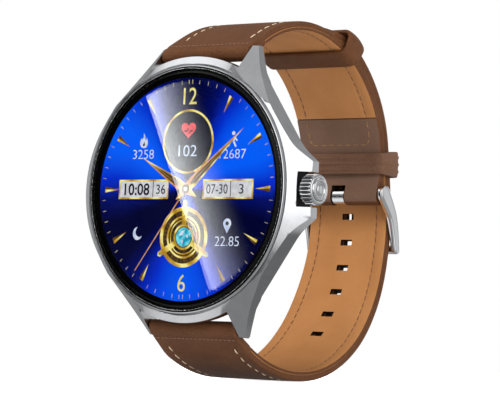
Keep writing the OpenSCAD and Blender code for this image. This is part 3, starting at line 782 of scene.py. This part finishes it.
# ---------------- keepers
def keeper(name, body, node, look, centre, inner, outer, half_width, start, sweep, thick, side,
        corner, bulge, ridges=()):
    """a leather loop round the strap, from a start angle over a sweep; its
    band is thick above and below and side thick beside the strap"""
    mid, hh = (inner + outer) / 2, (outer - inner) / 2
    w, r = half_width, corner
    loop = []
    for cx, cr, a in ((w - r, hh - r, 0), (-w + r, hh - r, 90), (-w + r, -hh + r, 180),
            (w - r, -hh + r, 270)):
        for k in range(7):
            t = radians(a + 15 * k)
            loop.append((cx + r * cos(t), cr + r * sin(t), cos(t), sin(t)))
    full = []
    for i, (x, y, nx, ny) in enumerate(loop):  # fill in the straight sides
        x2, y2 = loop[(i + 1) % len(loop)][:2]
        steps = max(1, int(hypot(x2 - x, y2 - y) / 1.2))
        for k in range(steps):
            f = k / steps
            full.append((x + f * (x2 - x), y + f * (y2 - y), nx, ny))
    a_mid = radians(start + sweep / 2)
    b_half = radians(sweep / 2) * mid
    e = 0.28  # rounding of the band's edges
    band = []
    for cb, ct, a in ((b_half - e, thick - e, 0), (-b_half + e, thick - e, 90),
            (-b_half + e, e, 180), (b_half - e, e, 270)):
        for k in range(4):
            t = radians(a + 30 * k)
            band.append((cb + e * cos(t), ct + e * sin(t)))
        if a == 0:
            band += [(b_half * (0.8 - 0.1 * k), thick) for k in range(17)]
    rings = []
    for x, y, nx, ny in full:
        wall = side if abs(nx) > 0.7 else thick
        ring = []
        for b, t in band:
            swell = (bulge * (1 - (b / b_half) ** 2) + sum(0.2 * bell(b, at * b_half, 0.22)
                for at in ridges)) * (t > thick / 2)
            t2 = t * wall / thick + swell
            p = centre + (mid + y + ny * t2) * forward(a_mid + b / mid)
            ring.append((x + nx * t2, *p))
        rings.append(ring)
    Kit().rings(rings, close=True).piece(name, body, look, "leather_brown", (node,), 60)


keeper("fixed_loop", "watch", "fixed_keeper", LOOP, C2, R2 - 0.1, R2 + 4.5, half_width=9.4,
    start=-3.3, sweep=11, thick=0.75, side=0.95, corner=0.6, bulge=0.05, ridges=(-0.55, 0.0, 0.55))
keeper("free_loop", "loose_keeper", "free_keeper", BROWN, C1, R1 - 0.1, R1L + L_TH + 0.17,
    half_width=9.85, start=56, sweep=10.5, thick=0.7, side=0.75, corner=1.2, bulge=0.26)


# ---------------- case and crown
def blacken(obj, r0, r1):
    """black on the slopes facing the viewer between two radii, in mm"""
    recolour(obj, RIM_BLACK, lambda face: abs(face.normal.y) < 0.995 and r0 < hypot(face.center.x,
        face.center.z) / MM < r1)


NOTCH_X, NOTCH_Z = 23.86, 3.07  # the notch round the crown, its walls painted black as shade: from x, up to z
NOTCH_SHADE = plastic("notch_painted_shade", 0.004, 0.008, (0.4, 0.5), 4.0, 0.05, 0.2)
RIM_BLACK = plastic("rim_black", 0.002, 0.004, (0.2, 0.3), 2.0, 0.02, 0.12)
# painted shade: the case's faces inside the crown's notch are coloured near-black
recolour(refined("mid_case", "case_shell", STEEL, 0.1), NOTCH_SHADE,
    lambda face: face.center.x > NOTCH_X * MM and abs(face.center.z) < NOTCH_Z * MM)
blacken(refined("bezel_ring", "bezel_trim", POLISH, 0.06), 21.1, 21.8)
blacken(refined("cover_glass", "front_glass", CLEAR, 0), 20.6, 21.3)
BACK = plastic("back_polymer", 0.012, 0.02, (0.38, 0.5), 10.0, 0.15)
LENS = plastic("smoked_lens", (0.004, 0.005, 0.007), (0.007, 0.008, 0.011), (0.03, 0.07), 0.4, 0.0)
refined("back_case", "back_shell", BACK, 0.1)
refined("back_cover", "back_plate", BACK, 0.1)
refined("sensor_lens", "sensor_dome", LENS, 0.08, 25)
refined("back_screws", "back_screw_set", PLAIN, 0.06)
refined("buckle_tang", "tang", POLISH, 0.16, segments=3)

CROWN_D = 3.3  # depth of the crown's axis


def on_crown(r, x, t):
    return (x, CROWN_D + r * sin(t), r * cos(t))


def build_crown():
    flutes, back = 24, 24.9
    outer = [(1.5, back), (2.3, back), (2.55, 24.97), (2.68, 25.1),
             (2.75, 25.3), (2.75, 25.5), (2.75, 26.6), (2.75, 26.8),
             (2.7, 27.05), (2.58, 27.25), (2.4, 27.36), (2.2, 27.4),
             (2.05, 27.36), (2.03, 27.2), (2.0, 27.05), (0.72, 27.05),
             (0.72, 25.4), (1.5, 25.4)]

    def fluted(r, x, t):
        wave = abs(cos(flutes * t / 2)) ** 1.5
        cut = 0.36 * wave * (r > 2.5) * min(1, (x - back) / 0.4, max(0.0, 27.2 - x) / 0.3)
        return on_crown(r - cut, x, t)

    def shaded_flute_floor(face):
        x, y, z = face.center / MM
        return 25.0 < x < 27.2 and 2.2 < hypot(y - FRONT / MM - CROWN_D, z) < 2.58

    # the floors of the flutes take the dark steel as painted shade
    recolour(Kit().spun(outer, 12 * flutes, fluted).piece("crown_fluted", "crown_turner", POLISH,
        "polished_steel", ("crown_knob",), 50), FLUTE_SHADE, shaded_flute_floor)
    cap = [(0.01, 27.06), (1.96, 27.06), (1.96, 27.5), (1.88, 27.62), (1.72, 27.69), (1.5, 27.69),
        (1.36, 27.6), (1.3, 27.44), (1.18, 27.4), (1.06, 27.44), (0.98, 27.56), (0.8, 27.62),
        (0.4, 27.66), (0.01, 27.67)]
    Kit().spun(cap, 72, on_crown).piece("crown_button", "crown_turner", POLISH, "polished_steel",
        ("crown_cap",), 50)


build_crown()


# ---------------- buckle
def build_buckle():
    # centre line of an arm (depth, z, half its height), eased
    spine = np.array([[48.3, 2.8, 1.72], [49.8, 0.95, 1.5], [51.1, -0.9, 1.34], [51.8, -2.8, 1.24],
        [52.35, -4.9, 1.12], [52.8, -7.3, 0.98]])
    k = np.linspace(0, 5, 41)
    path = np.array([np.interp(k, range(6), spine[:, j]) for j in range(3)]).T
    for _ in range(6):
        path[1:-1] = (path[:-2] + 2 * path[1:-1] + path[2:]) / 4

    def unit(v):
        return v[:2] / np.linalg.norm(v[:2])

    first, last = path[0], path[-1]
    u0, u1 = unit(path[1] - first), unit(last - path[-2])
    stations = [(first[:2] - u0 * first[2] * cos(a), u0, first[2] * sin(a))
        for a in np.linspace(0.12, pi / 2, 7)[:-1]]
    stations += [(q[:2], unit(path[min(i + 1, 40)] - path[max(i - 1, 0)]), q[2])
        for i, q in enumerate(path)]
    stations += [(last[:2] + u1 * last[2] * cos(a), u1, last[2] * sin(a))
        for a in np.linspace(pi / 2, 0.12, 7)[1:]]

    def squarish(c, radius):
        return copysign(abs(c) ** 0.55, c) * radius

    arms = []
    for sx in (-1, 1):
        rings = []
        for p, u, r in stations:
            ring = []
            for t in angles(28):
                q = p + np.array([-u[1], u[0]]) * squarish(sin(t), r)
                ring.append((sx * (9.85 + squarish(cos(t), min(0.55, r))), *q))
            rings.append(ring)
        arms.append(Kit().rings(rings))
    rings = []
    for x in np.linspace(-9.9, 9.9, 31):  # the bar, hollowed for the tang
        ring = []
        for t in angles(28):
            r = 0.84 - 0.08 * bell(x, 0, 2.2) * (sin(t) > 0)
            ring.append((x, 53.15 + r * cos(t), -7.4 + r * sin(t)))
        rings.append(ring)
    obj = arms[0].piece("buckle_loop", "buckle", POLISH, "polished_steel", ("buckle_frame",), 45)
    carve(obj, Kit().rings(rings), "UNION")
    carve(obj, arms[1], "UNION")
    carve(obj, Kit().rod(-10.1, 10.1, 0.76, *BUCKLE_BAR))
    shade(obj, 45)


build_buckle()

# ---------------- dial
R = 19.4  # radius of the picture, in mm
DIAL_LOOKS = (
    ("dial_gilding", make_gold_light()),
    ("dial_ticks", lit("dial_tick", (150, 140, 108), (206, 196, 158))),
    ("dial_numerals", lit("dial_pale", (220, 206, 104), (246, 240, 158))),
    ("dial_readings", lit("dial_white", (182, 198, 228), (224, 232, 248))),
    ("dial_inking", lit("dial_ink", (4, 4, 8), (16, 16, 22))),
    ("dial_windows", lit("dial_window", (196, 198, 204), (222, 224, 230))),
    ("dial_subdial", lit("dial_dark", (16, 18, 34), (40, 42, 58), 0.2)),
    ("dial_heart", lit("dial_red", (226, 66, 74), (250, 104, 108))),
    ("dial_stone", lit("dial_gem", (6, 150, 186), (120, 232, 244), 1.2)),
    ("dial_bronzing", lit("dial_bronze", (62, 40, 12), (108, 76, 24), 1.2)),
    ("dial_hands", lit("dial_copper", (196, 132, 74), (232, 178, 116))),
    ("dial_shading", lit("dial_shade", (28, 22, 20), (76, 60, 44), 0.6)))

# the picture's layers: front and rear depth behind the glass, in mm
PLATE, SUBDIAL, FRAME, SIGN = (1.185, 1.195), (1.188, 1.196), (1.17, 1.184), (1.16, 1.175)
SPLIT, PULSE, ON_SIGN, PRINT = (1.175, 1.184), (1.16, 1.169), (1.15, 1.159), (1.168, 1.182)
GEAR, GEAR_GAP, SPOKE = (1.172, 1.184), (1.176, 1.186), (1.158, 1.170)
STUD, STONE, FACET = (1.15, 1.157), (1.160, 1.171), (1.153, 1.159)
HAND, HAND_INLAY, SECOND_HAND = (1.125, 1.135), (1.115, 1.124), (1.105, 1.113)
HUB, HUB_CAP = (1.095, 1.104), (1.085, 1.094)


def writing(kit, text, u, v, height, width, layer, bold=0.0):
    """digits drawn to a height and width, in dial radii"""
    curve = bpy.data.curves.new("writing", "FONT")
    curve.body, curve.extrude, curve.resolution_u = text, 0.5, 3
    curve.offset = bold
    obj = link("writing", curve)
    bm = bmesh.new()
    bm.from_mesh(evaluated(obj))
    bmesh.ops.remove_doubles(bm, verts=bm.verts, dist=1e-5)
    faces = [[p.index for p in f.verts] for f in bm.faces]
    co = np.array([p.co[:] for p in bm.verts])
    bm.free()
    lo, hi = co.min(0), co.max(0)
    rel = (co - (lo + hi) / 2) / (hi - lo)
    d0, d1 = layer
    kit.add([(R * (u + q[0] * width), (d0 + d1) / 2 - q[2] * (d1 - d0), R * (v + q[1] * height))
        for q in rel], faces)
    bpy.data.objects.remove(obj)


def flat(kit, pts, layer):
    """a thin plate; its outline is given in dial radii"""
    kit.prism([(R * u, R * v) for u, v in pts], layer)


def clocked(pts, clock):
    """points (side, out) turned to a clock angle in degrees"""
    a = radians(clock)
    return [(x * cos(a) + y * sin(a), -x * sin(a) + y * cos(a)) for x, y in pts]


def moved(pts, u, v):
    return [(x + u, y + v) for x, y in pts]


def mirrored(pts):
    return [(-x, y) for x, y in pts[::-1]]


def bent(u, v, ru, rv, start, sweep, steps):
    """points of an elliptic arc, angles in degrees from the u axis"""
    return [(u + ru * cos(a), v + rv * sin(a)) for a in [radians(start + sweep * i / steps)
        for i in range(steps + 1)]]


def disc(kit, u, v, r, layer, n=64):
    flat(kit, [(u + r * sin(t), v + r * cos(t)) for t in angles(n)], layer)


def ring(kit, u, v, r0, r1, layer):
    d0, d1 = layer
    kit.spun([(R * r0, d0), (R * r1, d0), (R * r1, d1), (R * r0, d1)], 72,
        lambda r, d, t: (R * u + r * sin(t), d, R * v + r * cos(t)))


def window(frames, plates, ink, u, v, w, h, split):
    """a framed plate with a dividing line"""
    b = 0.016
    left, right, low, high = u - w / 2, u + w / 2, v - h / 2, v + h / 2
    flat(plates, rect(left, right, low, high), PLATE)
    for side in ((left, right, high - b, high), (left, right, low, low + b),
            (left, left + b, low + b, high - b), (right - b, right, low + b, high - b)):
        flat(frames, rect(*side), FRAME)
    flat(ink, rect(split - 0.004, split + 0.004, low + b, high - b), SPLIT)


def build_dial():
    kits = [Kit() for _ in DIAL_LOOKS]
    (gold, ticks, pale, white, ink, plates, dark, red, gem, bronze, copper, shadow) = kits
    for k in range(60):
        if k % 5:
            flat(ticks, clocked(rect(-0.003, 0.003, 0.966, 1.003), 6 * k), PLATE)
    for k in range(12):
        if k % 6:  # markers, half light, half dark
            flat(gold, clocked([(-0.028, 0.965), (0, 0.795), (0, 0.965)], 30 * k), SIGN)
            flat(bronze, clocked([(0, 0.965), (0, 0.795), (0.028, 0.965)], 30 * k), SIGN)
        else:
            for off in (-1.2, 1.2):
                flat(ticks, clocked(rect(-0.004, 0.004, 0.966, 1.005), 30 * k + off), PLATE)
    for kit, text, u, v, height, width, layer, bold in (
            (pale, "12", 0, 0.856, 0.154, 0.155, SIGN, 0.004),
            (pale, "6", 0, -0.859, 0.157, 0.088, SIGN, 0.0),
            (white, "102", 0, 0.352, 0.105, 0.215, SIGN, 0.0),
            (white, "3258", -0.523, 0.325, 0.085, 0.25, SIGN, -0.009),
            (white, "12687", 0.524, 0.318, 0.085, 0.30, SIGN, -0.009),
            (white, "22.85", 0.502, -0.473, 0.088, 0.276, SIGN, -0.009),
            (ink, "10:08", -0.582, 0, 0.112, 0.30, PRINT, 0.016),
            (ink, "36", -0.296, 0, 0.088, 0.108, PRINT, 0.0),
            (ink, "07-30", 0.362, 0, 0.088, 0.245, PRINT, 0.0),
            (ink, "3", 0.64, 0, 0.088, 0.052, PRINT, 0.0)):
        writing(kit, text, u, v, height, width, layer, bold)
    # upper subdial with a heart
    disc(dark, 0, 0.437, 0.285, SUBDIAL)
    ring(gold, 0, 0.437, 0.276, 0.296, FRAME)
    heart = [(0.085 * sin(t) ** 3, 0.0053 * (13 * cos(t) - 5 * cos(2 * t) - 2 * cos(3 * t)
        - cos(4 * t)) + 0.01) for t in angles(48)]
    flat(red, moved(heart, 0, 0.536), FRAME)
    pulse = [(-0.05, 0.0), (-0.02, 0.0), (-0.006, 0.026), (0.012, -0.024), (0.022, 0.0),
        (0.05, 0.0)]
    flat(ink, moved(pulse + moved(pulse[::-1], 0, -0.014), 0, 0.54), PULSE)
    # signs beside the small readings: flame, walker, moon, pin
    flame = [(0, -0.065), (0.032, -0.055), (0.048, -0.025), (0.044, 0.01),
             (0.03, 0.035), (0.024, 0.01), (0.014, 0.02), (0.012, 0.05),
             (-0.008, 0.075), (-0.006, 0.04), (-0.022, 0.015), (-0.03, 0.03),
             (-0.046, 0.0), (-0.046, -0.03), (-0.03, -0.055)]
    flat(white, moved(flame, -0.523, 0.446), SIGN)
    flat(ink, moved([(0, -0.05), (0.014, -0.035), (0.004, -0.005), (-0.013, -0.034)], -0.523,
        0.446), ON_SIGN)
    walker = ([(-0.01, 0.02), (0.03, 0.04), (0.02, -0.005), (-0.02, -0.01)],
              [(0.02, -0.01), (0.045, -0.055), (0.028, -0.062), (0.0, -0.012)],
              [(-0.02, -0.012), (-0.045, -0.058), (-0.06, -0.05), (-0.032, -0.005)],
              [(0.028, 0.03), (0.055, 0.0), (0.045, -0.008), (0.02, 0.015)])
    for pts in walker:
        flat(white, moved(pts, 0.52, 0.44), SIGN)
    disc(white, 0.525, 0.505, 0.018, SIGN, 24)
    moon = bent(0, 0, 0.055, 0.06, 100, 230, 24) + bent(0.022, 0.016, 0.046, 0.048, 318, -200, 20)
    flat(white, moved(moon, -0.549, -0.41), SIGN)
    pin = bent(0, 0.02, 0.045, 0.045, 210, -240, 24) + [(0, -0.07)]
    flat(white, moved(pin, 0.498, -0.332), SIGN)
    disc(ink, 0.498, -0.312, 0.018, ON_SIGN, 24)
    window(gold, plates, ink, -0.503, 0, 0.59, 0.179, -0.388)
    window(gold, plates, ink, 0.4855, 0, 0.576, 0.179, 0.517)
    # gear ring with three spokes and a stone
    v0 = -0.439
    disc(bronze, 0, v0, 0.272, SUBDIAL)
    for r0, r1 in ((0.243, 0.278), (0.178, 0.196), (0.150, 0.160), (0.098, 0.118)):
        ring(gold, 0, v0, r0, r1, GEAR)
    for k in range(36):
        flat(shadow, moved(clocked(rect(-0.010, 0.010, 0.2, 0.24), 10 * k), 0, v0), GEAR)
    ring(shadow, 0, v0, 0.124, 0.146, GEAR_GAP)
    spoke = [(-0.024, 0.10), (0.024, 0.10), (0.03, 0.24), (0.024, 0.325), (0, 0.345),
        (-0.024, 0.325), (-0.03, 0.24)]
    for clock in (0, 120, 240):
        flat(gold, moved(clocked(spoke, clock), 0, v0), SPOKE)
        disc(gem, *moved(clocked([(0, 0.315)], clock), 0, v0)[0], 0.011, STUD, 20)
    disc(gem, 0, v0, 0.088, STONE)
    facets = ([(-0.055, 0.01), (-0.03, 0.055), (0.01, 0.062), (-0.012, 0.02)],
              [(0.02, 0.012), (0.055, 0.03), (0.048, -0.012)],
              [(-0.035, -0.035), (-0.004, -0.02), (-0.008, -0.066)])
    for facet in facets:
        flat(white, moved(facet, 0, v0), FACET)
    # hands
    for clock, reach, w in ((299, 0.61, 0.048), (49, 0.85, 0.05)):
        half = [(0, -0.15), (w * 0.7, -0.05), (w, 0.10), (0, reach)]
        flat(gold, clocked(half, clock), HAND)
        flat(copper, clocked(mirrored(half), clock), HAND)
        inlay = [(0.002, 0.06), (w * 0.55 + 0.002, 0.13), (0.002, reach * 0.8)]
        flat(shadow, clocked(inlay, clock), HAND_INLAY)
        flat(bronze, clocked(mirrored(inlay), clock), HAND_INLAY)
    flat(copper, clocked([(-0.009, -0.24), (0.009, -0.24), (0.007, 0), (0.004, 0.94),
        (-0.004, 0.94), (-0.007, 0)], 216.6), SECOND_HAND)
    disc(bronze, 0, 0, 0.045, HUB, 40)
    disc(plates, 0, 0, 0.02, HUB_CAP, 32)
    for kit, (name, look) in zip(kits, DIAL_LOOKS):
        kit.piece(name, "watch", look, "display", (), 20)


build_dial()


# ---------------- studio and light
def stage_object(name, mesh, mat, seen, in_mirrors):
    """a floor that is seen, or a card that only shows in reflections"""
    obj = link(name, mesh)
    mesh.materials.append(mat)
    obj.visible_camera, obj.visible_diffuse = seen, seen
    obj.visible_glossy, obj.visible_transmission = in_mirrors, in_mirrors
    return obj


def make_floor():
    mat, s = material("floor_white")
    fine = s.noise(s.mm(), 0.02, 2.0)
    tone = s.ramp(fine, [(0.3, (0.80, 0.80, 0.80)), (0.7, (0.84, 0.84, 0.84))])
    seen = s.node("LightPath").outputs["Is Camera Ray"]
    s.principled(Base_Color=tone, Roughness=0.9, Specular_IOR_Level=0.0,
        Emission_Color=(1, 1, 1, 1), Emission_Strength=s.span(seen, 0.0, 1.0, 0.2, 0.72))
    mesh = bpy.data.meshes.new("floor")
    mesh.from_pydata([(6 * cos(t), 6 * sin(t), FLOOR) for t in angles(48)], [], [list(range(48))])
    stage_object("floor", mesh, mat, True, False)


def mirrored_point(on_glass, distance):
    """where the camera's ray to a point of the glass goes on to"""
    ray = (on_glass - CAM_AT).normalized()
    ray.y = -ray.y
    return on_glass + ray * distance


GLARE_AT = 0.14  # distance of the lit panel, in m


def make_glare_card():
    """a lit panel whose reflection crosses the glass as a slanting wedge"""
    # clock angles of the two ends of its bright edge
    a0, a1 = atan2(-0.50, 0.865), atan2(0.36, -0.93)
    centre = Vector((0, FRONT, 0))
    axis = mirrored_point(centre, 1.0) - centre
    pts = []
    for t in np.linspace(a0, a1, 41):
        p = Vector((0.992 * sin(t) * R * MM, FRONT, 0.992 * cos(t) * R * MM))
        ray = mirrored_point(p, 1.0) - p
        pts.append(p + ray * ((GLARE_AT - (p - centre).dot(axis)) / ray.dot(axis)))
    a, edge, mid = pts[0], pts[-1] - pts[0], pts[20] - pts[0]
    length = edge.length
    edge.normalize()
    across = mid - edge * mid.dot(edge)
    width = across.length
    across.normalize()
    mat, s = material("glare_card")
    at = s.node("TexCoord").outputs["Object"]
    rel = s.vector("SUBTRACT", at, a)
    far = s.vector("DOT_PRODUCT", rel, across, "Value")
    down = s.vector("DOT_PRODUCT", rel, edge, "Value")
    fade = s.math("POWER", s.span(far, 0.0, width * 0.55, 1.0, 0.0, smooth=False), 2.2)
    power = s.math("MULTIPLY", fade, s.span(down, 0.5 * length, length, 9.0, 5.6))
    emit = s.node("Emission", {"Color": (0.93, 0.96, 0.97, 1), "Strength": power})
    s.node("OutputMaterial", {"Surface": emit.outputs[0]})
    mesh = bpy.data.meshes.new("glare_card")
    mesh.from_pydata([tuple(p) for p in pts], [], [list(range(len(pts)))])
    card = stage_object("glare_card", mesh, mat, False, True)
    card.visible_shadow = False


AMBIENT, DARKEST = 0.32, 0.015
# patches of the studio: direction, inner and outer angle in degrees, and what
# each adds to the light there
PATCHES = (
    ((0.24, -0.88, 0.40), 24, 33, 1.3), ((0.36, -0.93, -0.12), 6, 20, 0.8),
    ((-0.60, -0.34, 0.72), 12, 24, 1.0), ((-0.58, -0.47, -0.65), 14, 28, 0.55),
    ((0.03, -0.82, -0.57), 6, 16, -0.22), ((-0.94, -0.33, 0.08), 5, 15, -0.28),
    ((-0.09, 0.8, -0.59), 4, 12, 0.2), ((0.17, -0.28, -0.95), 6, 20, -0.04),
    ((0.06, -0.17, 0.98), 4, 12, 0.24), ((-0.98, 0.2, 0.05), 6, 18, 0.16),
    ((0.55, 0.83, 0.07), 5, 14, 0.3), ((0.24, 0.8, -0.56), 5, 14, -0.16),
    ((-0.21, -0.63, 0.75), 5, 14, -0.2), ((-0.608, -0.791, 0.063), 6, 12, -0.32),
    ((0.0, 0.5, 1.0), 10, 26, 0.9), ((-0.2, 1.0, 0.1), 10, 22, 1.0),
    ((1.0, 0.35, 0.2), 10, 24, 0.9))


def make_world():
    """a studio as a function of direction: pale in front, dim behind"""
    world = bpy.data.worlds.new("studio")
    scene.world = world
    world.use_nodes = True
    s = Shader(world.node_tree)
    way = s.node("TexCoord").outputs["Generated"]
    light = AMBIENT

    def toward(direction, inner, outer):
        dot = s.vector("DOT_PRODUCT", way, Vector(direction).normalized(), "Value")
        return s.span(dot, cos(radians(outer)), cos(radians(inner)))

    for direction, inner, outer, change in PATCHES:
        light = s.math("ADD", light, s.math("MULTIPLY", toward(direction, inner, outer), change))
    light = s.math("MAXIMUM", light, DARKEST)
    studio = s.node("Background", {"Color": (1.0, 1.0, 1.0, 1), "Strength": light})
    white = s.node("Background", {"Color": (1, 1, 1, 1), "Strength": 1.0})
    seen = s.node("LightPath").outputs["Is Camera Ray"]
    both = s.node("MixShader", {0: seen, 1: studio.outputs[0], 2: white.outputs[0]})
    s.node("OutputWorld", {"Surface": both.outputs[0]})


def area_light(name, at, size, watts):
    data = bpy.data.lights.new(name, "AREA")
    data.shape, data.size, data.energy = "DISK", size, watts
    obj = link(name, data)
    obj.location = at
    aim = Vector((0, 0.012, 0)) - Vector(at)
    obj.rotation_euler = aim.to_track_quat("-Z", "Y").to_euler()
    obj.visible_glossy, obj.visible_camera = False, False


make_floor()
make_glare_card()
make_world()
for name, at, watts in (("key", (-0.25, -0.35, 0.5), 2.7), ("fill", (0.45, -0.15, 0.15), 1.6),
        ("back", (-0.1, 0.5, 0.2), 1.2)):
    area_light(name, at, 0.3, watts)
